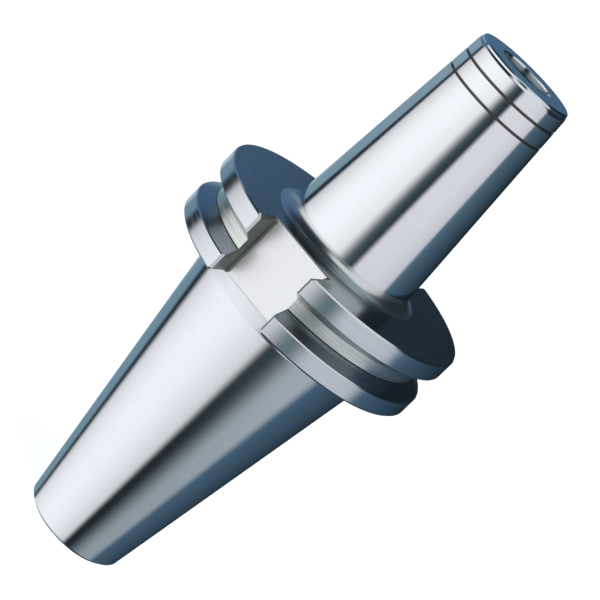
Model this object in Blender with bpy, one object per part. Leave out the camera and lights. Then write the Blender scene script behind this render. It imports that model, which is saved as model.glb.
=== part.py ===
"""Shrink fit tool holder: a size 40 V-flange shank whose nose grips a cutter's plain shank by heat.

It stands on the small end of its shank, nose up. Units are metres, +Z is up, and the origin is the
centre of the small end face. One drive slot faces -Y and the other +Y.
"""

import math

import bmesh
import bpy
from mathutils import Matrix, Vector

MM = 0.001

# Taper shank
GAUGE_DIAMETER = 44.45 * MM
TAPER_RATE = 7 / 24
SHANK_LENGTH = 68.25 * MM
SHANK_END_CHAMFER = 0.8 * MM

# Neck between the gauge line and the flange
NECK_RELIEF = 0.25 * MM
NECK_FILLET = 0.3 * MM

# Flange, with heights from the gauge line
FLANGE_DIAMETER = 63.5 * MM
FLANGE_REAR = 3.18 * MM
FLANGE_FRONT = 19.05 * MM
FLANGE_BEVEL = 0.5 * MM

# V-groove that the tool changer's gripper holds
GROOVE_CENTRE = 11.11 * MM
GROOVE_MOUTH = 7.06 * MM
GROOVE_DEPTH = 3.57 * MM
GROOVE_ANGLE = math.radians(60)
GROOVE_EDGE_BEVEL = 0.25 * MM

# Drive slots, with depths from the flange's rim
SLOT_WIDTH = 16.1 * MM
NEAR_SLOT_DEPTH = 9.15 * MM
FAR_SLOT_DEPTH = 6.75 * MM
SLOT_CORNER_RADIUS = 0.5 * MM
SLOT_WALL_CHAMFER = 0.7 * MM
SLOT_FLOOR_BEVEL = 0.3 * MM

# Nose, with the projection from the gauge line
PROJECTION = 72.0 * MM
NOSE_DIAMETER = 24.0 * MM
NOSE_HALF_ANGLE = math.radians(4.5)
NOSE_EDGE_CHAMFER = 0.4 * MM
NOSE_ROOT_FILLET = 2.9 * MM

# Two narrow rings turned into the nose, with depths from the nose face
RING_DEPTHS_DOWN = (4.6 * MM, 8.8 * MM)
RING_WIDTH = 0.6 * MM
RING_DEPTH = 0.35 * MM

# Tool bore
BORE_DIAMETER = 12.7 * MM
BORE_DEPTH = 47.0 * MM
BORE_CHAMFER = 0.4 * MM

# Length stop: a screw of M10x1 size and its tapped hole, whose plain walls stand a small gap apart
STOP_PITCH_DIAMETER = 9.35 * MM
STOP_FLANK_GAP = 0.3 * MM
STOP_THREAD_LENGTH = 24.0 * MM
STOP_THREAD_CHAMFER = 0.5 * MM
STOP_SCREW_LENGTH = 18.0 * MM
STOP_SCREW_SUNK = 0.2 * MM
STOP_SCREW_CHAMFER = 0.6 * MM
STOP_COOLANT_HOLE = 3.5 * MM
STOP_SOCKET_FLATS = 5.0 * MM
STOP_SOCKET_DEPTH = 5.0 * MM

# Coolant bore, which also passes the stop screw's key
COOLANT_BORE = 8.0 * MM

# Pull stud hole, 5/8-11 at its core size, with its locating counterbore
STUD_CORE_DIAMETER = 13.6 * MM
STUD_HOLE_DEPTH = 34.0 * MM
STUD_COUNTERBORE = 16.3 * MM
STUD_COUNTERBORE_DEPTH = 4.8 * MM
STUD_MOUTH_CHAMFER = 0.5 * MM

# Angle of the cone that a drill leaves between two bores
DRILL_POINT = math.radians(118)

# How far a cutter runs past the face that it cuts
OVERSHOOT = 1.0 * MM

# Fineness of the round forms, and the angle from which an edge is drawn sharp
BODY_SIDES = 96
SCREW_SIDES = 48
FILLET_STEPS = 5
SHARP_EDGE_ANGLE = math.radians(20)

# Heights above the small end face
GAUGE_Z = SHANK_LENGTH
REAR_FACE_Z = GAUGE_Z + FLANGE_REAR
FRONT_FACE_Z = GAUGE_Z + FLANGE_FRONT
NOSE_FACE_Z = GAUGE_Z + PROJECTION
BORE_FLOOR_Z = NOSE_FACE_Z - BORE_DEPTH
STOP_THREAD_END_Z = BORE_FLOOR_Z - STOP_THREAD_LENGTH


def clear_scene():
    for obj in list(bpy.data.objects):
        bpy.data.objects.remove(obj, do_unlink=True)


def sharp(radius, height):
    return Vector((radius, height)), "sharp", 0.0


def chamfer(radius, height, leg):
    return Vector((radius, height)), "chamfer", leg


def fillet(radius, height, size):
    return Vector((radius, height)), "fillet", size


def corner_points(before, corner, after, kind, size):
    """The points that stand for one corner: itself, the two ends of its chamfer, or its arc."""
    if kind == "sharp":
        return [corner]
    to_before = (before - corner).normalized()
    to_after = (after - corner).normalized()
    if kind == "chamfer":
        return [corner + to_before * size, corner + to_after * size]
    half_angle = to_before.angle(to_after) / 2
    centre = corner + (to_before + to_after).normalized() * (size / math.sin(half_angle))
    reach = size / math.tan(half_angle)
    start = corner + to_before * reach - centre
    sweep = start.angle_signed(corner + to_after * reach - centre)
    turns = [sweep * step / FILLET_STEPS for step in range(FILLET_STEPS + 1)]
    return [centre + Matrix.Rotation(-turn, 2) @ start for turn in turns]


def finished_outline(corners):
    """A closed outline with the chamfer or fillet of each corner put in."""
    outline = []
    for index, (corner, kind, size) in enumerate(corners):
        before = corners[index - 1][0]
        after = corners[(index + 1) % len(corners)][0]
        outline += corner_points(before, corner, after, kind, size)
    return outline


def mesh_object(name, form):
    """An object in the scene that holds the finished bmesh, with its faces pointing out."""
    bmesh.ops.recalc_face_normals(form, faces=form.faces[:])
    mesh = bpy.data.meshes.new(name)
    form.to_mesh(mesh)
    form.free()
    obj = bpy.data.objects.new(name, mesh)
    bpy.context.scene.collection.objects.link(obj)
    return obj


def turned(name, outline, sides):
    """A ring-like solid: a closed outline of (radius, height) points turned about the Z axis."""
    form = bmesh.new()
    points = [form.verts.new((point.x, 0, point.y)) for point in outline]
    edges = [form.edges.new((points[i - 1], points[i])) for i in range(len(points))]
    bmesh.ops.spin(
        form,
        geom=points + edges,
        axis=(0, 0, 1),
        cent=(0, 0, 0),
        angle=2 * math.pi,
        steps=sides,
        use_merge=True,
    )
    return mesh_object(name, form)


def lofted(name, sections):
    """A solid through closed sections that hold the same number of 3D points, capped at both ends."""
    form = bmesh.new()
    rings = [[form.verts.new(point) for point in section] for section in sections]
    form.faces.new(rings[0])
    form.faces.new(rings[-1])
    for lower, upper in zip(rings, rings[1:]):
        for i in range(len(lower)):
            form.faces.new((lower[i - 1], lower[i], upper[i], upper[i - 1]))
    return mesh_object(name, form)


def cut(obj, cutters):
    """Cut closed cutters from the object, and keep the result as its mesh."""
    for cutter in cutters:
        cutter.hide_render = True
        cutter.display_type = "WIRE"
        boolean = obj.modifiers.new(cutter.name, "BOOLEAN")
        boolean.operation = "DIFFERENCE"
        boolean.solver = "EXACT"
        boolean.object = cutter
    bpy.context.view_layer.update()
    graph = bpy.context.evaluated_depsgraph_get()
    result = bpy.data.meshes.new_from_object(obj.evaluated_get(graph))
    obj.modifiers.clear()
    obj.data = result
    result.name = obj.name
    for cutter in cutters:
        bpy.data.objects.remove(cutter, do_unlink=True)


def shade_round(obj):
    obj.data.shade_smooth()
    obj.data.set_sharp_from_angle(angle=SHARP_EDGE_ANGLE)


def give_material(obj, name, colour, roughness):
    material = bpy.data.materials.new(name)
    material.use_nodes = True
    shader = material.node_tree.nodes["Principled BSDF"]
    shader.inputs["Base Color"].default_value = (*colour, 1)
    shader.inputs["Metallic"].default_value = 1
    shader.inputs["Roughness"].default_value = roughness
    obj.data.materials.clear()
    obj.data.materials.append(material)


def shank_corners():
    """The small end, the 7:24 taper and the relieved neck up to the flange's rear face."""
    gauge_radius = GAUGE_DIAMETER / 2
    neck_radius = gauge_radius - NECK_RELIEF
    return [
        chamfer(gauge_radius - SHANK_LENGTH * TAPER_RATE / 2, 0, SHANK_END_CHAMFER),
        sharp(gauge_radius, GAUGE_Z),
        sharp(neck_radius, GAUGE_Z + NECK_RELIEF),
        fillet(neck_radius, REAR_FACE_Z, NECK_FILLET),
    ]


def flange_corners():
    """The two rims and the V-groove between them."""
    rim = FLANGE_DIAMETER / 2
    floor = rim - GROOVE_DEPTH
    centre = GAUGE_Z + GROOVE_CENTRE
    half_mouth = GROOVE_MOUTH / 2
    half_floor = half_mouth - GROOVE_DEPTH * math.tan(GROOVE_ANGLE / 2)
    return [
        chamfer(rim, REAR_FACE_Z, FLANGE_BEVEL),
        chamfer(rim, centre - half_mouth, GROOVE_EDGE_BEVEL),
        sharp(floor, centre - half_floor),
        sharp(floor, centre + half_floor),
        chamfer(rim, centre + half_mouth, GROOVE_EDGE_BEVEL),
        chamfer(rim, FRONT_FACE_Z, FLANGE_BEVEL),
    ]


def nose_radius(height):
    """Outer radius of the nose cone at a height above the small end face."""
    return NOSE_DIAMETER / 2 + (NOSE_FACE_Z - height) * math.tan(NOSE_HALF_ANGLE)


def ring_corners(depth_down):
    """One narrow ring with slanted sides, centred this far below the nose face."""
    centre = NOSE_FACE_Z - depth_down
    floor = nose_radius(centre) - RING_DEPTH
    half_mouth = RING_WIDTH / 2
    half_floor = RING_WIDTH / 4
    return [
        sharp(nose_radius(centre - half_mouth), centre - half_mouth),
        sharp(floor, centre - half_floor),
        sharp(floor, centre + half_floor),
        sharp(nose_radius(centre + half_mouth), centre + half_mouth),
    ]


def nose_corners():
    """The fillet on the flange's front face, the nose cone with its rings, and the nose face."""
    corners = [fillet(nose_radius(FRONT_FACE_Z), FRONT_FACE_Z, NOSE_ROOT_FILLET)]
    for depth_down in sorted(RING_DEPTHS_DOWN, reverse=True):
        corners += ring_corners(depth_down)
    corners.append(chamfer(NOSE_DIAMETER / 2, NOSE_FACE_Z, NOSE_EDGE_CHAMFER))
    return corners


def drill_cone(radius_from, radius_to):
    """Height of the cone that a drill's point leaves between two radii."""
    return abs(radius_from - radius_to) / math.tan(DRILL_POINT / 2)


def bore_corners():
    """The way through, from the nose down: tool bore, stop thread, coolant bore and pull stud hole."""
    bore = BORE_DIAMETER / 2
    thread = (STOP_PITCH_DIAMETER + STOP_FLANK_GAP) / 2
    coolant = COOLANT_BORE / 2
    core = STUD_CORE_DIAMETER / 2
    counterbore = STUD_COUNTERBORE / 2
    return [
        chamfer(bore, NOSE_FACE_Z, BORE_CHAMFER),
        sharp(bore, BORE_FLOOR_Z),
        chamfer(thread, BORE_FLOOR_Z, STOP_THREAD_CHAMFER),
        sharp(thread, STOP_THREAD_END_Z),
        sharp(coolant, STOP_THREAD_END_Z - drill_cone(thread, coolant)),
        sharp(coolant, STUD_HOLE_DEPTH + drill_cone(core, coolant)),
        sharp(core, STUD_HOLE_DEPTH),
        chamfer(core, STUD_COUNTERBORE_DEPTH, STUD_MOUTH_CHAMFER),
        sharp(counterbore, STUD_COUNTERBORE_DEPTH),
        chamfer(counterbore, 0, STUD_MOUTH_CHAMFER),
    ]


def slot_section(height, depth, widen, deepen):
    """The slot's section at one height, for a slot facing -Y: floor, round corners, walls and flared mouth."""
    half_width = SLOT_WIDTH / 2 + widen
    rim = FLANGE_DIAMETER / 2
    floor_y = -(rim - depth - deepen)
    edge_y = -math.sqrt(rim**2 - half_width**2)
    outer_y = -(rim + OVERSHOOT)
    corners = [
        fillet(half_width, floor_y, SLOT_CORNER_RADIUS),
        sharp(half_width, edge_y + SLOT_WALL_CHAMFER),
        sharp(half_width + SLOT_WALL_CHAMFER + edge_y - outer_y, outer_y),
        sharp(-half_width - SLOT_WALL_CHAMFER - edge_y + outer_y, outer_y),
        sharp(-half_width, edge_y + SLOT_WALL_CHAMFER),
        fillet(-half_width, floor_y, SLOT_CORNER_RADIUS),
    ]
    return [(point.x, point.y, height) for point in finished_outline(corners)]


def slot_cutter(name, depth):
    """The milled slot, which flares out at the flange's two faces by its walls' and its floor's chamfers."""
    half_flared = SLOT_WALL_CHAMFER - SLOT_FLOOR_BEVEL
    stations = [
        (REAR_FACE_Z - OVERSHOOT, SLOT_WALL_CHAMFER, SLOT_FLOOR_BEVEL),
        (REAR_FACE_Z, SLOT_WALL_CHAMFER, SLOT_FLOOR_BEVEL),
        (REAR_FACE_Z + SLOT_FLOOR_BEVEL, half_flared, 0),
        (REAR_FACE_Z + SLOT_WALL_CHAMFER, 0, 0),
        (FRONT_FACE_Z - SLOT_WALL_CHAMFER, 0, 0),
        (FRONT_FACE_Z - SLOT_FLOOR_BEVEL, half_flared, 0),
        (FRONT_FACE_Z, SLOT_WALL_CHAMFER, SLOT_FLOOR_BEVEL),
        (FRONT_FACE_Z + OVERSHOOT, SLOT_WALL_CHAMFER, SLOT_FLOOR_BEVEL),
    ]
    return lofted(name, [slot_section(z, depth, widen, deepen) for z, widen, deepen in stations])


def make_holder_body():
    outline = finished_outline(shank_corners() + flange_corners() + nose_corners() + bore_corners())
    body = turned("holder_body", outline, BODY_SIDES)
    near_slot = slot_cutter("near_slot", NEAR_SLOT_DEPTH)
    far_slot = slot_cutter("far_slot", FAR_SLOT_DEPTH)
    far_slot.rotation_euler.z = math.pi
    cut(body, [near_slot, far_slot])
    shade_round(body)
    give_material(body, "ground steel", (0.74, 0.76, 0.80), 0.22)
    return body


def socket_cutter(name, low, high):
    """A six-sided prism between two heights, with two of its corners on the X axis."""
    corner_radius = STOP_SOCKET_FLATS / 2 / math.cos(math.pi / 6)
    turns = [math.pi / 3 * i for i in range(6)]
    sections = [
        [(corner_radius * math.cos(turn), corner_radius * math.sin(turn), height) for turn in turns]
        for height in (low, high)
    ]
    return lofted(name, sections)


def make_length_stop_screw(holder):
    """The stop screw with its own origin on the axis, at the centre of its lower end."""
    radius = (STOP_PITCH_DIAMETER - STOP_FLANK_GAP) / 2
    hole = STOP_COOLANT_HOLE / 2
    outline = finished_outline(
        [
            sharp(hole, 0),
            chamfer(radius, 0, STOP_SCREW_CHAMFER),
            chamfer(radius, STOP_SCREW_LENGTH, STOP_SCREW_CHAMFER),
            sharp(hole, STOP_SCREW_LENGTH),
        ]
    )
    screw = turned("length_stop_screw", outline, SCREW_SIDES)
    upper_socket_floor = STOP_SCREW_LENGTH - STOP_SOCKET_DEPTH
    cutters = [
        socket_cutter("lower_socket", -OVERSHOOT, STOP_SOCKET_DEPTH),
        socket_cutter("upper_socket", upper_socket_floor, STOP_SCREW_LENGTH + OVERSHOOT),
    ]
    cut(screw, cutters)
    shade_round(screw)
    give_material(screw, "blackened steel", (0.10, 0.10, 0.11), 0.45)
    screw.parent = holder
    screw.location.z = BORE_FLOOR_Z - STOP_SCREW_SUNK - STOP_SCREW_LENGTH
    return screw


clear_scene()
holder_body = make_holder_body()
length_stop_screw = make_length_stop_screw(holder_body)
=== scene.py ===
"""Shrink fit tool holder: the finished steel surfaces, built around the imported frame.

Units are metres and +Z is up. The origin is the centre of the small end face, on which the holder
stands.
"""

import math

import bmesh
import bpy
import numpy as np
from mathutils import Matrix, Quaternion, Vector


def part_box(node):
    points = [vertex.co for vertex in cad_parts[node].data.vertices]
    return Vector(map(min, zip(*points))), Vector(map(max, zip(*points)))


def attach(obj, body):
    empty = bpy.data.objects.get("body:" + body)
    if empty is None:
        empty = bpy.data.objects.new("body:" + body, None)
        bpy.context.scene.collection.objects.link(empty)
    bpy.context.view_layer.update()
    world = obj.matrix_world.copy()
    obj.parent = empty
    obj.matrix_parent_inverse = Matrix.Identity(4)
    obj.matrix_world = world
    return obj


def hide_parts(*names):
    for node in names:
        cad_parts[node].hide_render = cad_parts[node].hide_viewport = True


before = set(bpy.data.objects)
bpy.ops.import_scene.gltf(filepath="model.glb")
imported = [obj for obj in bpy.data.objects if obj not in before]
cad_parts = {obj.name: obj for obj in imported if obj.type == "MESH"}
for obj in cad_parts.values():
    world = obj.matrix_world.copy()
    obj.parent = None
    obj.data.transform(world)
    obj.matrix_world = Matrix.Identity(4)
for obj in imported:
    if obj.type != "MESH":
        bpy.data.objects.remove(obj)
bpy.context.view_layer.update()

MM = 0.001


# Camera
# It looks a little down on the holder from beside the deeper drive slot, as the photograph does, and is
# rolled over so that the holder lies across the picture with its nose to the upper right.

CAMERA_AZIMUTH = math.radians(17.7)
CAMERA_ELEVATION = math.radians(16.309)
CAMERA_ROLL = math.radians(45.149)
CAMERA_DISTANCE = 449.79 * MM
CAMERA_AIM = Vector((0, 0, 72.86 * MM))
CAMERA_LENS_MM = 128.13
CAMERA_SENSOR_MM = 36.0
CAMERA_SEES_FROM = 10 * MM
CAMERA_SEES_TO = 20.0


def towards(azimuth, elevation):
    """The unit vector that points out from the axis: azimuth 0 is -Y, and it grows towards +X."""
    level = math.cos(elevation)
    return Vector((math.sin(azimuth) * level, -math.cos(azimuth) * level, math.sin(elevation)))


def make_camera():
    data = bpy.data.cameras.new("photo_camera")
    data.sensor_width = CAMERA_SENSOR_MM
    data.lens = CAMERA_LENS_MM
    data.clip_start = CAMERA_SEES_FROM
    data.clip_end = CAMERA_SEES_TO
    camera = bpy.data.objects.new("photo_camera", data)
    bpy.context.scene.collection.objects.link(camera)
    outwards = towards(CAMERA_AZIMUTH, CAMERA_ELEVATION)
    camera.location = CAMERA_AIM + outwards * CAMERA_DISTANCE
    camera.rotation_mode = "QUATERNION"
    upright = (-outwards).to_track_quat("-Z", "Y")
    camera.rotation_quaternion = upright @ Quaternion((0, 0, 1), CAMERA_ROLL)
    bpy.context.scene.camera = camera


make_camera()


# Holder body
# One piece of hardened steel, turned, milled and ground: the 7:24 taper shank, the V-grooved flange with
# its two drive slots, the slim nose cone, and the stepped way through for the cutter, the stop screw, the
# coolant and the pull stud.

NOSE_FACE_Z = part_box("holder_body")[1].z
RIM_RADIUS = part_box("holder_body")[1].x

GAUGE_RADIUS = 22.225 * MM
GAUGE_Z = 68.25 * MM
TAPER_RATE = 7 / 24
SHANK_END_CHAMFER = 0.8 * MM
NECK_RELIEF = 0.25 * MM
NECK_RUN_IN = 1 * MM
NECK_FILLET = 0.3 * MM

REAR_FACE_Z = GAUGE_Z + 3.18 * MM
FRONT_FACE_Z = GAUGE_Z + 19.05 * MM
RIM_BEVEL = 0.5 * MM
RIM_FACET_HEIGHT = 0.42 * MM
RIM_FACET_WIDTH = 0.22 * MM
RIM_FACET_ROUND = 0.1 * MM
GROOVE_Z = GAUGE_Z + 11.11 * MM
GROOVE_MOUTH = 7.06 * MM
GROOVE_DEPTH = 3.57 * MM
GROOVE_ANGLE = math.radians(60)
GROOVE_EDGE_BEVEL = 0.17 * MM
GROOVE_EDGE_ROUND = 0.3 * MM
GROOVE_CORNER_RELIEF = 0.22 * MM

NOSE_RADIUS = 12 * MM
NOSE_HALF_ANGLE = math.radians(4.5)
NOSE_SHOULDER_ROUND = 1.7 * MM
NOSE_SHOULDER_RUN = 0.45 * MM
NOSE_SHOULDER_ANGLE = math.radians(33)
NOSE_LAND = 0.75 * MM
NOSE_LAND_ANGLE = math.radians(6)
NOSE_EDGE_ROUND = 0.5 * MM
NOSE_ROOT_FILLET = 2.9 * MM
RING_DEPTHS_DOWN = (8.8 * MM, 4.6 * MM)
RING_WIDTH = 0.6 * MM
RING_DEPTH = 0.35 * MM

BORE_RADIUS = 6.35 * MM
BORE_DEPTH = 47 * MM
BORE_LEAD_IN = 1.5 * MM
BORE_LEAD_IN_ANGLE = math.radians(8)
BORE_EDGE_HEIGHT = 0.4 * MM
BORE_EDGE_ANGLE = math.radians(15)
BORE_EDGE_BREAK = 0.06 * MM
STOP_THREAD_MOUTH_RADIUS = 5.325 * MM
STOP_THREAD_RADIUS = 5.03 * MM
STOP_THREAD_LENGTH = 24 * MM
COOLANT_RADIUS = 4 * MM
STUD_CORE_RADIUS = 6.8 * MM
STUD_HOLE_DEPTH = 34 * MM
STUD_COUNTERBORE_RADIUS = 8.15 * MM
STUD_COUNTERBORE_DEPTH = 4.8 * MM
STUD_CHAMFER = 0.5 * MM
DRILL_POINT = math.radians(118)

SLOT_HALF_WIDTH = 8.05 * MM
NEAR_SLOT_DEPTH = 9.15 * MM
FAR_SLOT_DEPTH = 6.75 * MM
SLOT_CORNER_RADIUS = 0.5 * MM
SLOT_WALL_CHAMFER = 0.7 * MM
SLOT_FLOOR_BEVEL = 0.3 * MM
SLOT_FLOOR_BEVEL_DEPTH = 0.13 * MM
CUTTER_OVERSHOOT = 1 * MM

# Pitch, radius of the inner flat and radius of the outer flat of each tapped hole
TAPPED = {
    "stop thread": (1 * MM, 4.459 * MM, 5 * MM),
    "stud thread": (25.4 / 11 * MM, 6.85 * MM, 7.94 * MM),
}

BODY_COLUMNS = 360
ARC_STEPS = 8
CREASE = math.radians(15)
SAME_POINT = 1e-7
SAME_RING = 2e-6


def corner(x, y, after="", edge=None, leg=0.0, arc=0.0):
    """One corner of an outline, with a chamfer of that leg, an arc of that radius, or neither.

    After is the finish of the stretch that follows it, and edge is the finish of its own chamfer or arc.
    """
    return {"place": (x, y), "after": after, "edge": edge or after, "leg": leg, "arc": arc}


def outline(corners):
    """The closed outline through the corners: its points, and the finish of the stretch after each point.

    A chamfer moves the corner back by its leg along both sides. An arc is tangent to both sides: its
    centre lies on the corner's halving line, and its points are turned from one radius to the other in
    equal steps. The third list holds the points where an arc starts or ends.
    """
    places = np.array([each["place"] for each in corners])
    points, finishes, arc_ends = [], [], []
    for index, each in enumerate(corners):
        place = places[index]
        back = places[index - 1] - place
        on = places[(index + 1) % len(places)] - place
        back /= np.linalg.norm(back)
        on /= np.linalg.norm(on)
        if each["leg"]:
            made = np.array([place + back * each["leg"], place + on * each["leg"]])
        elif each["arc"]:
            half = math.acos(back @ on) / 2
            reach = each["arc"] / math.tan(half)
            centre = place + (back + on) * each["arc"] / math.sin(half) / np.linalg.norm(back + on)
            sweep = math.pi - 2 * half
            turn = np.linspace(0, sweep, ARC_STEPS + 1)[:, None]
            first, last = place + back * reach - centre, place + on * reach - centre
            made = centre + (first * np.sin(sweep - turn) + last * np.sin(turn)) / math.sin(sweep)
            arc_ends += [made[0], made[-1]]
        else:
            made = place[None, :]
        points.append(made)
        finishes += [each["edge"]] * (len(made) - 1) + [each["after"]]
    return np.concatenate(points), finishes, arc_ends


def thread_rows(low, high, plain, pitch, inner, outer, angles):
    """A screw thread between two heights, as rows of points that climb one pitch in each turn.

    Each turn has four rows, along the edges of the inner flat, a quarter pitch wide, and of the outer flat,
    an eighth wide, with straight flanks between them. Rows that run past an end are held at its height, and
    near the ends the thread fades into the plain radius. Heights are counted from 0, so threads mesh.
    """
    turns = np.arange(math.floor(low / pitch) - 1, math.ceil(high / pitch) + 1)
    flats = np.array((-1 / 8, 1 / 8, 7 / 16, 9 / 16))
    level = (turns[:, None] + flats).ravel()[:, None]
    heights = np.clip(pitch * (level + angles / (2 * math.pi)), low, high)
    full = np.tile((inner, inner, outer, outer), len(turns))[:, None]
    share = np.clip(np.minimum(heights - low, high - heights) / (pitch / 2), 0, 1)
    return plain + (full - plain) * share, heights


def paint(mesh, materials, numbers):
    """Gives the mesh its list of finishes, and each face its number in that list."""
    for material in materials.values():
        mesh.materials.append(material)
    mesh.polygons.foreach_set("material_index", np.asarray(numbers, dtype=np.int32))


def turned_mesh(name, corners, columns, materials, tapped=None):
    """A closed surface turned about Z: rows follow the outline and columns the angle round the axis.

    A point lies at its row's radius and height, and x and y are the radius times the column's cosine and
    sine. A stretch whose finish is in the table of tapped ones becomes the rows of its thread. The last
    column repeats the first, and merging doubles closes that seam and the threads' ends.
    """
    points, finishes, _ = outline(corners)
    angles = np.linspace(0, 2 * math.pi, columns + 1)
    rows = []
    for index, finish in enumerate(finishes):
        radius, height = points[index]
        rows.append((np.full((1, columns + 1), radius), np.full((1, columns + 1), height), [finish]))
        if finish in (tapped or {}):
            end = points[(index + 1) % len(points)][1]
            made = thread_rows(min(height, end), max(height, end), radius, *tapped[finish], angles)
            step = -1 if end < height else 1
            rows.append((made[0][::step], made[1][::step], [finish] * len(made[0])))
    radii = np.concatenate([row[0] for row in rows])
    heights = np.concatenate([row[1] for row in rows])
    names = [finish for row in rows for finish in row[2]]
    spots = np.stack([radii * np.cos(angles), radii * np.sin(angles), heights], axis=-1).reshape(-1, 3)
    row = np.arange(len(radii))[:, None]
    above = (row + 1) % len(radii)
    column = np.arange(columns)
    wide = columns + 1
    quads = np.stack(
        [row * wide + column, row * wide + column + 1, above * wide + column + 1, above * wide + column],
        axis=-1,
    ).reshape(-1, 4)
    mesh = bpy.data.meshes.new(name)
    mesh.from_pydata(spots, [], quads)
    paint(mesh, materials, np.repeat([list(materials).index(each) for each in names], columns))
    closed = bmesh.new()
    closed.from_mesh(mesh)
    bmesh.ops.remove_doubles(closed, verts=closed.verts[:], dist=SAME_POINT)
    closed.to_mesh(mesh)
    closed.free()
    return mesh


def lofted_mesh(name, sections, finishes, materials, ends):
    """A closed surface through rows of points, one row for each section, with a flat cap at both ends."""
    stations, around = len(sections), len(sections[0])
    row = np.arange(stations - 1)[:, None]
    point = np.arange(around)
    on = (point + 1) % around
    sides = np.stack(
        [row * around + point, row * around + on, (row + 1) * around + on, (row + 1) * around + point],
        axis=-1,
    ).reshape(-1, 4)
    first = list(range(around))
    last = [(stations - 1) * around + each for each in range(around)]
    mesh = bpy.data.meshes.new(name)
    mesh.from_pydata(np.concatenate(sections).tolist(), [], sides.tolist() + [first[::-1], last])
    known = list(materials)
    numbers = [known.index(each) for each in finishes] * (stations - 1) + [known.index(ends)] * 2
    paint(mesh, materials, numbers)
    closed = bmesh.new()
    closed.from_mesh(mesh)
    bmesh.ops.recalc_face_normals(closed, faces=closed.faces[:])
    closed.to_mesh(mesh)
    closed.free()
    return mesh


def cut_away(mesh, cutters):
    """The mesh with the cutters' solids cut from it. New faces keep their cutter's material number."""
    scene = bpy.context.scene.collection
    obj = bpy.data.objects.new("work", mesh)
    scene.objects.link(obj)
    helpers = []
    for cutter in cutters:
        helper = bpy.data.objects.new("cutter", cutter)
        scene.objects.link(helper)
        helpers.append(helper)
        boolean = obj.modifiers.new("cut", "BOOLEAN")
        boolean.operation = "DIFFERENCE"
        boolean.solver = "EXACT"
        boolean.material_mode = "INDEX"
        boolean.object = helper
    bpy.context.view_layer.update()
    graph = bpy.context.evaluated_depsgraph_get()
    result = bpy.data.meshes.new_from_object(obj.evaluated_get(graph))
    for each in [obj, *helpers]:
        bpy.data.objects.remove(each, do_unlink=True)
    return result


def shade_crisp(mesh, arc_ends=()):
    """Smooth shading, creased at each real edge and at the rings where an arc runs out into a flat."""
    mesh.shade_smooth()
    mesh.set_sharp_from_angle(angle=CREASE)
    spots = np.empty(len(mesh.vertices) * 3, np.float32)
    mesh.vertices.foreach_get("co", spots)
    spots = spots.reshape(-1, 3)
    radius = np.hypot(spots[:, 0], spots[:, 1])
    ends = np.empty(len(mesh.edges) * 2, np.int32)
    mesh.edges.foreach_get("vertices", ends)
    ends = ends.reshape(-1, 2)
    creased = np.zeros(len(mesh.edges), bool)
    mesh.attributes["sharp_edge"].data.foreach_get("value", creased)
    for ring_radius, ring_height in arc_ends:
        on_ring = np.hypot(radius - ring_radius, spots[:, 2] - ring_height) < SAME_RING
        creased |= on_ring[ends].all(axis=1)
    mesh.attributes["sharp_edge"].data.foreach_set("value", creased)


def nose_radius(height):
    """Radius of the nose cone at a height above the small end face."""
    return NOSE_RADIUS + (NOSE_FACE_Z - height) * math.tan(NOSE_HALF_ANGLE)


def drill_cone(radius_from, radius_to):
    """Height of the cone that a drill's point leaves between two radii."""
    return abs(radius_from - radius_to) / math.tan(DRILL_POINT / 2)


def ring_corners(depth_down):
    """One narrow turned ring with slanted sides, this far below the nose face."""
    centre = NOSE_FACE_Z - depth_down
    floor = nose_radius(centre) - RING_DEPTH
    mouth = RING_WIDTH / 2
    flat = RING_WIDTH / 4
    return [
        corner(nose_radius(centre - mouth), centre - mouth, "turned"),
        corner(floor, centre - flat, "ring"),
        corner(floor, centre + flat, "ring"),
        corner(nose_radius(centre + mouth), centre + mouth, "ground"),
    ]


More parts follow.
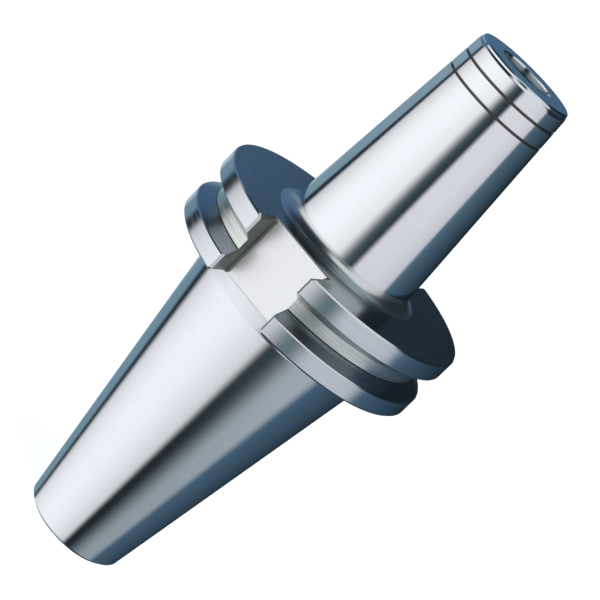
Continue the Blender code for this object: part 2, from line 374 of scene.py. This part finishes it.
def body_corners():
    """The body's outline, up the outside from the small end face and down through the bores."""
    neck = GAUGE_RADIUS - NECK_RELIEF
    floor = RIM_RADIUS - GROOVE_DEPTH
    mouth = GROOVE_MOUTH / 2
    flat = mouth - GROOVE_DEPTH * math.tan(GROOVE_ANGLE / 2)
    bore_floor = NOSE_FACE_Z - BORE_DEPTH
    stop_chamfer = STOP_THREAD_MOUTH_RADIUS - STOP_THREAD_RADIUS
    stop_end = bore_floor - STOP_THREAD_LENGTH
    edge = NOSE_FACE_Z - NOSE_LAND - NOSE_SHOULDER_RUN * math.cos(NOSE_SHOULDER_ANGLE)
    corners = [
        corner(GAUGE_RADIUS - GAUGE_Z * TAPER_RATE / 2, 0, "ground", leg=SHANK_END_CHAMFER),
        corner(GAUGE_RADIUS, GAUGE_Z, "turned"),
        corner(neck, GAUGE_Z + NECK_RUN_IN, "turned"),
        corner(neck, REAR_FACE_Z, "turned", arc=NECK_FILLET),
        corner(RIM_RADIUS, REAR_FACE_Z, "turned", leg=RIM_BEVEL),
        corner(RIM_RADIUS, GROOVE_Z - mouth, "lower flank", "turned", leg=GROOVE_EDGE_BEVEL),
        corner(floor, GROOVE_Z - flat, "corner"),
        corner(floor - GROOVE_CORNER_RELIEF, GROOVE_Z - flat + GROOVE_CORNER_RELIEF / 2, "corner"),
        corner(floor, GROOVE_Z - flat + GROOVE_CORNER_RELIEF, "groove"),
        corner(floor, GROOVE_Z + flat, "flank"),
        corner(RIM_RADIUS, GROOVE_Z + mouth, "turned", arc=GROOVE_EDGE_ROUND),
        corner(RIM_RADIUS, FRONT_FACE_Z - RIM_FACET_HEIGHT, "turned", arc=RIM_FACET_ROUND),
        corner(RIM_RADIUS - RIM_FACET_WIDTH, FRONT_FACE_Z, "faced", arc=RIM_FACET_ROUND),
        corner(nose_radius(FRONT_FACE_Z), FRONT_FACE_Z, "ground", "root", arc=NOSE_ROOT_FILLET),
    ]
    for depth_down in RING_DEPTHS_DOWN:
        corners += ring_corners(depth_down)
    shoulder_end = nose_radius(edge) - NOSE_SHOULDER_RUN * math.sin(NOSE_SHOULDER_ANGLE)
    land_end = shoulder_end - NOSE_LAND * math.tan(NOSE_LAND_ANGLE)
    mouth_radius = BORE_RADIUS + BORE_LEAD_IN * math.tan(BORE_LEAD_IN_ANGLE)
    mouth_edge = mouth_radius + BORE_EDGE_HEIGHT * math.tan(BORE_EDGE_ANGLE)
    corners += [
        corner(nose_radius(edge), edge, "ground", arc=NOSE_SHOULDER_ROUND),
        corner(shoulder_end, NOSE_FACE_Z - NOSE_LAND, "ground"),
        corner(land_end, NOSE_FACE_Z, "tip", arc=NOSE_EDGE_ROUND),
        corner(mouth_edge, NOSE_FACE_Z, "ground", leg=BORE_EDGE_BREAK),
        corner(mouth_radius, NOSE_FACE_Z - BORE_EDGE_HEIGHT, "bore mouth"),
        corner(BORE_RADIUS, NOSE_FACE_Z - BORE_EDGE_HEIGHT - BORE_LEAD_IN, "bored"),
        corner(BORE_RADIUS, bore_floor, "bored"),
        corner(STOP_THREAD_MOUTH_RADIUS, bore_floor, "bored"),
        corner(STOP_THREAD_RADIUS, bore_floor - stop_chamfer, "stop thread"),
        corner(STOP_THREAD_RADIUS, stop_end, "bored"),
        corner(COOLANT_RADIUS, stop_end - drill_cone(STOP_THREAD_RADIUS, COOLANT_RADIUS), "bored"),
        corner(COOLANT_RADIUS, STUD_HOLE_DEPTH + drill_cone(STUD_CORE_RADIUS, COOLANT_RADIUS), "bored"),
        corner(STUD_CORE_RADIUS, STUD_HOLE_DEPTH, "stud thread"),
        corner(STUD_CORE_RADIUS, STUD_COUNTERBORE_DEPTH + STUD_CHAMFER, "bored"),
        corner(STUD_CORE_RADIUS + STUD_CHAMFER, STUD_COUNTERBORE_DEPTH, "bored"),
        corner(STUD_COUNTERBORE_RADIUS, STUD_COUNTERBORE_DEPTH, "bored"),
        corner(STUD_COUNTERBORE_RADIUS, 0, "turned", leg=STUD_CHAMFER),
    ]
    return corners


def slot_outline(depth, widen, deepen):
    """The slot's section: round floor corners, and a mouth that flares past the rim."""
    half = SLOT_HALF_WIDTH + widen
    floor = RIM_RADIUS - depth - deepen
    edge = math.sqrt(RIM_RADIUS**2 - half**2)
    outside = RIM_RADIUS + CUTTER_OVERSHOOT
    flare = half + SLOT_WALL_CHAMFER + outside - edge
    return outline(
        [
            corner(half, floor, "slot wall", arc=SLOT_CORNER_RADIUS),
            corner(half, edge - SLOT_WALL_CHAMFER, "milled"),
            corner(flare, outside, "milled"),
            corner(-flare, outside, "milled"),
            corner(-half, edge - SLOT_WALL_CHAMFER, "slot wall"),
            corner(-half, floor, "milled", "slot wall", arc=SLOT_CORNER_RADIUS),
        ]
    )


def slot_cutter(depth, facing, materials):
    """A milled slot's solid through the flange, flared at both faces by its wall and floor chamfers."""
    half_flared = SLOT_WALL_CHAMFER - SLOT_FLOOR_BEVEL
    stations = (
        (REAR_FACE_Z - CUTTER_OVERSHOOT, SLOT_WALL_CHAMFER, SLOT_FLOOR_BEVEL_DEPTH),
        (REAR_FACE_Z, SLOT_WALL_CHAMFER, SLOT_FLOOR_BEVEL_DEPTH),
        (REAR_FACE_Z + SLOT_FLOOR_BEVEL, half_flared, 0),
        (REAR_FACE_Z + SLOT_WALL_CHAMFER, 0, 0),
        (FRONT_FACE_Z - SLOT_WALL_CHAMFER, 0, 0),
        (FRONT_FACE_Z - SLOT_FLOOR_BEVEL, half_flared, 0),
        (FRONT_FACE_Z, SLOT_WALL_CHAMFER, SLOT_FLOOR_BEVEL_DEPTH),
        (FRONT_FACE_Z + CUTTER_OVERSHOOT, SLOT_WALL_CHAMFER, SLOT_FLOOR_BEVEL_DEPTH),
    )
    sections = []
    for height, widen, deepen in stations:
        flat, finishes, _ = slot_outline(depth, widen, deepen)
        level = np.full(len(flat), height)
        sections.append(np.column_stack([-facing * flat[:, 0], facing * flat[:, 1], level]))
    return lofted_mesh("slot_cutter", sections, finishes, materials, "milled")


def node(tree, kind, **settings):
    """A new node, with its settings, and its inputs given by name as values or as links."""
    made = tree.nodes.new(kind)
    inputs = settings.pop("inputs", {})
    for name, value in settings.items():
        setattr(made, name, value)
    for name, value in inputs.items():
        if isinstance(value, bpy.types.NodeSocket):
            tree.links.new(value, made.inputs[name])
        else:
            made.inputs[name].default_value = value
    return made


def maths(tree, operation, first, second=0.0, third=0.0):
    """One Math node's result."""
    return node(
        tree, "ShaderNodeMath", operation=operation, inputs={0: first, 1: second, 2: third}
    ).outputs[0]


def blend_colours(tree, share, first, second):
    """A Mix node's colour, from the first at 0 to the second at 1."""
    mixed = node(tree, "ShaderNodeMix", data_type="RGBA", inputs={"Factor": share})
    for number, value in ((6, first), (7, second)):
        if isinstance(value, bpy.types.NodeSocket):
            tree.links.new(value, mixed.inputs[number])
        else:
            mixed.inputs[number].default_value = (*value, 1)
    return mixed.outputs[2]


def new_group(name, inputs, outputs):
    """An empty shader node group, with its input and output nodes."""
    tree = bpy.data.node_groups.new(name, "ShaderNodeTree")
    for label, kind in inputs:
        tree.interface.new_socket(name=label, in_out="INPUT", socket_type=kind)
    for label, kind in outputs:
        tree.interface.new_socket(name=label, in_out="OUTPUT", socket_type=kind)
    return tree, tree.nodes.new("NodeGroupInput").outputs, tree.nodes.new("NodeGroupOutput").inputs


def make_tool_lines():
    """Fine lines round the axis: noise that changes fast along the axis and outwards, slowly round it."""
    tree, given, result = new_group(
        "tool_lines",
        [("Pitch", "NodeSocketFloat"), ("Broken", "NodeSocketFloat")],
        [("Height", "NodeSocketFloat")],
    )
    place = node(tree, "ShaderNodeTexCoord").outputs["Object"]
    flat = node(tree, "ShaderNodeVectorMath", operation="MULTIPLY", inputs={0: place, 1: (1, 1, 0)})
    radius = node(tree, "ShaderNodeVectorMath", operation="LENGTH", inputs={0: flat.outputs[0]})
    round_axis = node(tree, "ShaderNodeVectorMath", operation="NORMALIZE", inputs={0: flat.outputs[0]})
    slow = node(
        tree,
        "ShaderNodeVectorMath",
        operation="SCALE",
        inputs={0: round_axis.outputs[0], "Scale": given["Broken"]},
    )
    height = node(tree, "ShaderNodeSeparateXYZ", inputs={0: place}).outputs["Z"]
    along = maths(tree, "ADD", height, radius.outputs["Value"])
    fast = maths(tree, "DIVIDE", along, given["Pitch"])
    lift = node(tree, "ShaderNodeCombineXYZ", inputs={"Z": fast})
    where = node(
        tree, "ShaderNodeVectorMath", operation="ADD", inputs={0: slow.outputs[0], 1: lift.outputs[0]}
    )
    noise = node(
        tree,
        "ShaderNodeTexNoise",
        inputs={"Vector": where.outputs[0], "Scale": 1.0, "Detail": 3.0, "Roughness": 0.65},
    )
    tree.links.new(noise.outputs["Fac"], result["Height"])
    return tree


# The tool lines' noise mostly lies between these two values
NOISE_LOW = 0.35
NOISE_HIGH = 0.65


def make_steel(name, colour, roughness, pitch, broken, line_depth, low_colour=None, rough_lines=0.3):
    """Bare steel with fine tool lines: a bump of that depth, rougher where the lines are low.

    Where a second colour is given, the steel turns to it in the low lines.
    """
    material = bpy.data.materials.new(name)
    material.use_nodes = True
    tree = material.node_tree
    shader = tree.nodes["Principled BSDF"]
    shader.inputs["Metallic"].default_value = 1
    marks = node(
        tree, "ShaderNodeGroup", node_tree=tool_lines, inputs={"Pitch": pitch, "Broken": broken}
    )
    height = marks.outputs["Height"]
    share = node(
        tree,
        "ShaderNodeMapRange",
        inputs={"Value": height, "From Min": NOISE_LOW, "From Max": NOISE_HIGH},
    ).outputs[0]
    rough = node(
        tree,
        "ShaderNodeMapRange",
        inputs={
            "Value": share,
            "To Min": roughness * (1 + rough_lines),
            "To Max": roughness * (1 - rough_lines),
        },
    )
    tree.links.new(rough.outputs[0], shader.inputs["Roughness"])
    if low_colour:
        tree.links.new(blend_colours(tree, share, low_colour, colour), shader.inputs["Base Color"])
    else:
        shader.inputs["Base Color"].default_value = (*colour, 1)
    bump = node(
        tree, "ShaderNodeBump", inputs={"Height": height, "Strength": 1.0, "Distance": line_depth}
    )
    tree.links.new(bump.outputs[0], shader.inputs["Normal"])
    return material


tool_lines = make_tool_lines()
BODY_STEELS = {
    "ground": make_steel(
        "ground_taper_steel", (0.80, 0.82, 0.86), 0.10, 0.16 * MM, 0.7, 0.00002 * MM, (0.78, 0.80, 0.84)
    ),
    "turned": make_steel(
        "turned_steel", (0.72, 0.75, 0.80), 0.16, 0.2 * MM, 1.0, 0.00004 * MM, (0.69, 0.72, 0.77)
    ),
    # Painted reflection: the tip face's steel is tinted blue for the blue it mirrors, so it stays bluish
    # under any light.
    "tip": make_steel(
        "tip_face_painted_reflection_steel", (0.62, 0.76, 0.88), 0.15, 0.2 * MM, 1.0, 0.00005 * MM, (0.58, 0.72, 0.86)
    ),
    # Painted shade: the front face's steel is darkened well below bare steel so that the face shows dark.
    "faced": make_steel(
        "faced_painted_shade_steel", (0.33, 0.37, 0.385), 0.2, 0.2 * MM, 1.0, 0.00003 * MM, (0.32, 0.355, 0.37)
    ),
    "root": make_steel(
        "root_fillet_steel", (0.72, 0.75, 0.77), 0.25, 0.2 * MM, 1.0, 0.00002 * MM,
        (0.70, 0.73, 0.75), 0.1,
    ),
    # Painted shade: the groove's lower flank has darker steel, for the shade that falls in the groove.
    "lower flank": make_steel(
        "lower_flank_painted_shade_steel", (0.42, 0.46, 0.50), 0.16, 0.2 * MM, 1.0, 0.00003 * MM, (0.40, 0.44, 0.48)
    ),
    # Painted shade: the groove's upper flank has darker steel, for the dark band of shade along it.
    "flank": make_steel(
        "flank_painted_shade_steel", (0.56, 0.58, 0.59), 0.2, 0.2 * MM, 1.0, 0.00006 * MM, (0.50, 0.52, 0.53)
    ),
    "groove": make_steel(
        "groove_steel", (0.75, 0.79, 0.80), 0.3, 0.32 * MM, 1.4, 0.0003 * MM, (0.62, 0.64, 0.61)
    ),
    "corner": make_steel("shadowed_corner_steel", (0.06, 0.06, 0.06), 0.6, 0.2 * MM, 1.0, 0.0001 * MM),
    # Painted shade: the floors of the narrow rings on the nose are darkened, as shade in the recesses.
    "ring": make_steel("ring_painted_shade_steel", (0.15, 0.14, 0.12), 0.5, 0.2 * MM, 1.0, 0.0001 * MM),
    # Painted shade: the bore's mouth has dark teal steel, for a dark line round the bore's rim.
    "bore mouth": make_steel(
        "bore_mouth_painted_shade_steel", (0.24, 0.30, 0.32), 0.22, 0.3 * MM, 1.5, 0.0001 * MM, (0.22, 0.27, 0.29)
    ),
    # Painted light: the bores' steel is lighter than bare steel and tinted teal, standing in for light that
    # reaches down the deep bores.
    "bored": make_steel(
        "bored_painted_light_steel", (0.82, 0.92, 0.94), 0.5, 0.5 * MM, 1.5, 0.0005 * MM, (0.78, 0.88, 0.90)
    ),
    "stop thread": make_steel("stop_thread_steel", (0.6, 0.61, 0.63), 0.3, 0.2 * MM, 1.0, 0.0002 * MM),
    "stud thread": make_steel("stud_thread_steel", (0.6, 0.61, 0.63), 0.3, 0.2 * MM, 1.0, 0.0002 * MM),
    "milled": make_steel(
        "milled_steel", (0.84, 0.85, 0.87), 0.34, 0.25 * MM, 4.0, 0.00003 * MM, (0.82, 0.83, 0.85), 0.05
    ),
    # Painted shade: the slot walls' steel is darkened so that the walls show dark, not the bright slot
    # floor they mirror.
    "slot wall": make_steel(
        "slot_wall_painted_shade_steel", (0.26, 0.27, 0.25), 0.4, 0.25 * MM, 4.0, 0.0003 * MM, (0.22, 0.22, 0.20)
    ),
}


def make_body():
    corners = body_corners()
    mesh = turned_mesh("tool_holder", corners, BODY_COLUMNS, BODY_STEELS, TAPPED)
    slots = [slot_cutter(NEAR_SLOT_DEPTH, -1, BODY_STEELS), slot_cutter(FAR_SLOT_DEPTH, 1, BODY_STEELS)]
    mesh = cut_away(mesh, slots)
    mesh.name = "tool_holder"
    shade_crisp(mesh, outline(corners)[2])
    body = bpy.data.objects.new("tool_holder", mesh)
    bpy.context.scene.collection.objects.link(body)
    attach(body, "holder")
    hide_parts("holder_body")


make_body()


# Length stop screw
# A blackened M10x1 set screw low in the bore, on which the cutter's shank rests. It has a hexagon socket
# at both ends, so that it can be turned from the nose or from the stud's end, and a hole for the coolant.

SCREW_LOW, SCREW_HIGH = (each.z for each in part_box("length_stop_screw"))
SCREW_PLAIN_RADIUS = 4.525 * MM
SCREW_CHAMFER = 0.6 * MM
SCREW_HOLE_RADIUS = 1.75 * MM
SCREW_THREAD = {"thread": (1 * MM, 4.389 * MM, 4.93 * MM)}
SOCKET_FLATS = 5 * MM
SOCKET_DEPTH = 5 * MM
SCREW_COLUMNS = 144


def socket_cutter(low, high, materials):
    """A hexagon prism between two heights, with two of its corners on the X axis."""
    turn = np.arange(6) * math.pi / 3
    radius = SOCKET_FLATS / 2 / math.cos(math.pi / 6)
    sections = [
        np.column_stack([radius * np.cos(turn), radius * np.sin(turn), np.full(6, height)])
        for height in (low, high)
    ]
    return lofted_mesh("socket_cutter", sections, ["oxide"] * 6, materials, "oxide")


def make_screw():
    oxide = make_steel("black_oxide", (0.07, 0.07, 0.075), 0.42, 0.2 * MM, 2.0, 0.0005 * MM)
    materials = {"oxide": oxide, "thread": oxide}
    corners = [
        corner(SCREW_HOLE_RADIUS, SCREW_LOW, "oxide"),
        corner(SCREW_PLAIN_RADIUS - SCREW_CHAMFER, SCREW_LOW, "oxide"),
        corner(SCREW_PLAIN_RADIUS, SCREW_LOW + SCREW_CHAMFER, "thread"),
        corner(SCREW_PLAIN_RADIUS, SCREW_HIGH - SCREW_CHAMFER, "oxide"),
        corner(SCREW_PLAIN_RADIUS - SCREW_CHAMFER, SCREW_HIGH, "oxide"),
        corner(SCREW_HOLE_RADIUS, SCREW_HIGH, "oxide"),
    ]
    mesh = turned_mesh("stop_screw", corners, SCREW_COLUMNS, materials, SCREW_THREAD)
    sockets = [
        socket_cutter(SCREW_LOW - CUTTER_OVERSHOOT, SCREW_LOW + SOCKET_DEPTH, materials),
        socket_cutter(SCREW_HIGH - SOCKET_DEPTH, SCREW_HIGH + CUTTER_OVERSHOOT, materials),
    ]
    mesh = cut_away(mesh, sockets)
    mesh.name = "stop_screw"
    shade_crisp(mesh)
    screw = bpy.data.objects.new("stop_screw", mesh)
    bpy.context.scene.collection.objects.link(screw)
    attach(screw, "stop_screw")
    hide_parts("length_stop_screw")


make_screw()


# Floor
# A plain pale floor under the small end face, nearly white to the camera. The steel doesn't mirror it,
# because the photographed steel shows the studio's panels straight down its whole length.

FLOOR_HALF_SIZE = 6.0
FLOOR_GLOW = 0.85
FLOOR_COLOUR = (0.8, 0.8, 0.8, 1)


def make_floor():
    mesh = bpy.data.meshes.new("floor")
    size = FLOOR_HALF_SIZE
    corners = [(-size, -size, 0), (size, -size, 0), (size, size, 0), (-size, size, 0)]
    mesh.from_pydata(corners, [], [(0, 1, 2, 3)])
    material = bpy.data.materials.new("pale_floor")
    material.use_nodes = True
    tree = material.node_tree
    tree.nodes.clear()
    diffuse = node(tree, "ShaderNodeBsdfDiffuse", inputs={"Color": FLOOR_COLOUR})
    seen = node(tree, "ShaderNodeLightPath").outputs["Is Camera Ray"]
    glow = maths(tree, "MULTIPLY", seen, FLOOR_GLOW)
    light = node(tree, "ShaderNodeEmission", inputs={"Color": (1, 1, 1, 1), "Strength": glow})
    both = node(tree, "ShaderNodeAddShader", inputs={0: diffuse.outputs[0], 1: light.outputs[0]})
    node(tree, "ShaderNodeOutputMaterial", inputs={"Surface": both.outputs[0]})
    mesh.materials.append(material)
    floor = bpy.data.objects.new("floor", mesh)
    bpy.context.scene.collection.objects.link(floor)
    floor.visible_glossy = False


make_floor()


# Studio
# A ring of soft light panels and cards with dark gaps between them, which the polished steel mirrors.
# Azimuths are in degrees from the camera's side and grow to its right. Where a value comes as three, they
# are for rays at the elevations below, which the nose, the flange's rims and the taper mirror.

STATIONS = (-4.0, -16.0, -38.0)
SURROUNDINGS = (0.016, 0.026, 0.036)


def panel(colour, centre, left, right, bottom, top, softs, edge_soft=6, levels=(1, 1), power=2):
    """A panel's values for the group: its reach to each side of its centre, and how it fades there."""
    return {
        "Colour": colour,
        "Centre": centre,
        "Left": left,
        "Right": right,
        "Left Soft": softs[0],
        "Right Soft": softs[1],
        "Bottom": bottom,
        "Top": top,
        "Edge Soft": edge_soft,
        "Left Level": levels[0],
        "Right Level": levels[1],
        "Fade Power": power,
    }


PANELS = {
    "dark blue card behind on the right": panel(
        ((0.11, 0.195, 0.268), (0.08, 0.155, 0.24), (0.078, 0.146, 0.213)),
        88, 12, 75, -90, 0, (8, 8), levels=(1, (0.06, 0.15, 0.4)), power=0.6,
    ),
    "steel blue card behind on the left": panel(
        ((0.265, 0.375, 0.45), (0.178, 0.30, 0.38), (0.195, 0.305, 0.37)),
        -150, 32, (31.8, 22.5, 20), -90, 6, (8, (3, 4, 6)), edge_soft=8,
    ),
    "navy wall behind on the left": panel(
        (0.102, 0.188, 0.32), -140, 39, 32, 4, 35, (2.5, 8), edge_soft=9
    ),
    "blue card low behind": panel((0.085, 0.165, 0.26), 180, 9, 9, -4, 10, (5, 5), edge_soft=2),
    "light strip behind on the left": panel(
        (0.48, 0.60, 0.68), -160, 9, 7.5, -20, -12, (2, 3), edge_soft=1.2
    ),
    "grey ceiling on the right and behind": panel(
        (0.38, 0.48, 0.52), 180, 165, 45, 52, 110, (12, 12), levels=(0.6, 0.3), power=1
    ),
    "faint light in the front gap": panel(
        ((0.06, 0.09, 0.10), (0.14, 0.22, 0.235), (0.017, 0.0215, 0.0258)),
        (3, 16, 22), 8, 8, -64, 18, (7, 7),
    ),
    "grey card on the right": panel(
        ((0.83, 0.82, 0.857), (0.66, 0.695, 0.735), (0.315, 0.375, 0.40)),
        45, (24.5, 19, 2), (40.6, 41, 41.3), -62, 32, ((4.5, 9, 22), (2.5, 6, 8)),
        edge_soft=8, levels=(1, (0.8, 0.9, 1)),
    ),
    "white sweep in front and on the left": panel(
        ((1.13, 1.134, 1.14), (1.11, 1.12, 1.13), (1.08, 1.083, 1.10)),
        -58, (51.6, 52, 63.5), (54.2, 66, 67.8), -64, 18, ((3, 5, 7), (10, 10, 6)),
        levels=((0.6, 0.6, 0.68), (0.8, 0.62, 0.65)),
    ),
    "overhead diffuser": panel((0.86, 0.88, 0.87), 28, 46, 56, 26, 60, (8, 14)),
}
PANEL_FLOATS = (
    "Centre", "Left", "Right", "Left Soft", "Right Soft", "Bottom", "Top", "Edge Soft",
    "Left Level", "Right Level", "Fade Power",
)


def make_panel_group():
    """One soft-edged panel of light, as a share of each direction.

    The direction's azimuth from the panel's centre, wrapped to half a turn either way, is compared with the
    panel's left and right reach, and its elevation with the panel's bottom and top. Each edge is a smooth
    step as wide as its softness on both sides. Towards a side the light changes to that side's level, with
    a power of the share of the reach.
    """
    inputs = [(label, "NodeSocketFloat") for label in ("Azimuth", "Elevation", *PANEL_FLOATS)]
    tree, given, result = new_group(
        "light_panel",
        [("Behind", "NodeSocketColor"), ("Colour", "NodeSocketColor"), *inputs],
        [("Light", "NodeSocketColor")],
    )

    def inside(value, edge, soft):
        """1 up to an edge and 0 past it, with a smooth step as wide as the softness on both sides."""
        return node(
            tree,
            "ShaderNodeMapRange",
            interpolation_type="SMOOTHSTEP",
            inputs={
                "Value": value,
                "From Min": maths(tree, "SUBTRACT", edge, soft),
                "From Max": maths(tree, "ADD", edge, soft),
                "To Min": 1.0,
                "To Max": 0.0,
            },
        ).outputs[0]

    def fade(distance, reach, level):
        """From 1 at the panel's centre to the side's level at its reach."""
        share = maths(tree, "DIVIDE", distance, reach)
        share = maths(tree, "MINIMUM", maths(tree, "MAXIMUM", share, 0.0), 1.0)
        share = maths(tree, "POWER", share, given["Fade Power"])
        return maths(tree, "MULTIPLY_ADD", share, maths(tree, "SUBTRACT", level, 1.0), 1.0)

    apart = maths(tree, "SUBTRACT", given["Azimuth"], given["Centre"])
    rightwards = maths(tree, "WRAP", apart, 180.0, -180.0)
    leftwards = maths(tree, "MULTIPLY", rightwards, -1.0)
    downwards = maths(tree, "MULTIPLY", given["Elevation"], -1.0)
    low_edge = maths(tree, "MULTIPLY", given["Bottom"], -1.0)
    mask = maths(
        tree,
        "MULTIPLY",
        inside(leftwards, given["Left"], given["Left Soft"]),
        inside(rightwards, given["Right"], given["Right Soft"]),
    )
    mask = maths(tree, "MULTIPLY", mask, inside(given["Elevation"], given["Top"], given["Edge Soft"]))
    mask = maths(tree, "MULTIPLY", mask, inside(downwards, low_edge, given["Edge Soft"]))
    level = maths(
        tree,
        "MULTIPLY",
        fade(leftwards, given["Left"], given["Left Level"]),
        fade(rightwards, given["Right"], given["Right Level"]),
    )
    lit = node(
        tree, "ShaderNodeVectorMath", operation="SCALE", inputs={0: given["Colour"], "Scale": level}
    ).outputs[0]
    tree.links.new(blend_colours(tree, mask, given["Behind"], lit), result["Light"])
    return tree


def make_world():
    """White to the camera, and the panels, cards and gaps to every other ray."""
    world = bpy.data.worlds.new("studio")
    bpy.context.scene.world = world
    world.use_nodes = True
    tree = world.node_tree
    tree.nodes.clear()
    ray = node(tree, "ShaderNodeTexCoord").outputs["Generated"]
    parts = node(tree, "ShaderNodeSeparateXYZ", inputs={0: ray}).outputs
    turn = maths(tree, "ARCTAN2", parts["X"], maths(tree, "MULTIPLY", parts["Y"], -1.0))
    turn = maths(tree, "SUBTRACT", turn, CAMERA_AZIMUTH)
    azimuth = maths(tree, "MULTIPLY", turn, 180 / math.pi)
    elevation = maths(tree, "MULTIPLY", maths(tree, "ARCSINE", parts["Z"]), 180 / math.pi)

    def between(first, second, low=0.0, high=1.0):
        """Low at the first station's elevation, high at the second's, and straight in between."""
        return node(
            tree,
            "ShaderNodeMapRange",
            inputs={
                "Value": elevation,
                "From Min": first,
                "From Max": second,
                "To Min": low,
                "To Max": high,
            },
        ).outputs[0]

    to_rims = between(STATIONS[0], STATIONS[1])
    to_taper = between(STATIONS[1], STATIONS[2])

    def number(value):
        """A plain number as it is, or three as one that changes with the ray's elevation."""
        if not isinstance(value, tuple):
            return float(value)
        change = between(STATIONS[1], STATIONS[2], 0.0, value[2] - value[1])
        return maths(tree, "ADD", between(STATIONS[0], STATIONS[1], value[0], value[1]), change)

    def colour(value):
        """A plain colour as it is, or three as one that changes with the ray's elevation."""
        if not isinstance(value[0], tuple):
            return (*value, 1)
        return blend_colours(tree, to_taper, blend_colours(tree, to_rims, value[0], value[1]), value[2])

    panel_group = make_panel_group()
    light = (*SURROUNDINGS, 1)
    for label, values in PANELS.items():
        inputs = {"Behind": light, "Azimuth": azimuth, "Elevation": elevation}
        inputs["Colour"] = colour(values["Colour"])
        inputs.update({name: number(values[name]) for name in PANEL_FLOATS})
        lit = node(tree, "ShaderNodeGroup", node_tree=panel_group, label=label, inputs=inputs)
        light = lit.outputs[0]
    seen = node(tree, "ShaderNodeLightPath").outputs["Is Camera Ray"]
    shown = blend_colours(tree, seen, light, (1, 1, 1))
    background = node(tree, "ShaderNodeBackground", inputs={"Color": shown, "Strength": 1.0})
    node(tree, "ShaderNodeOutputWorld", inputs={"Surface": background.outputs[0]})


make_world()
bpy.context.scene.view_settings.view_transform = "Standard"
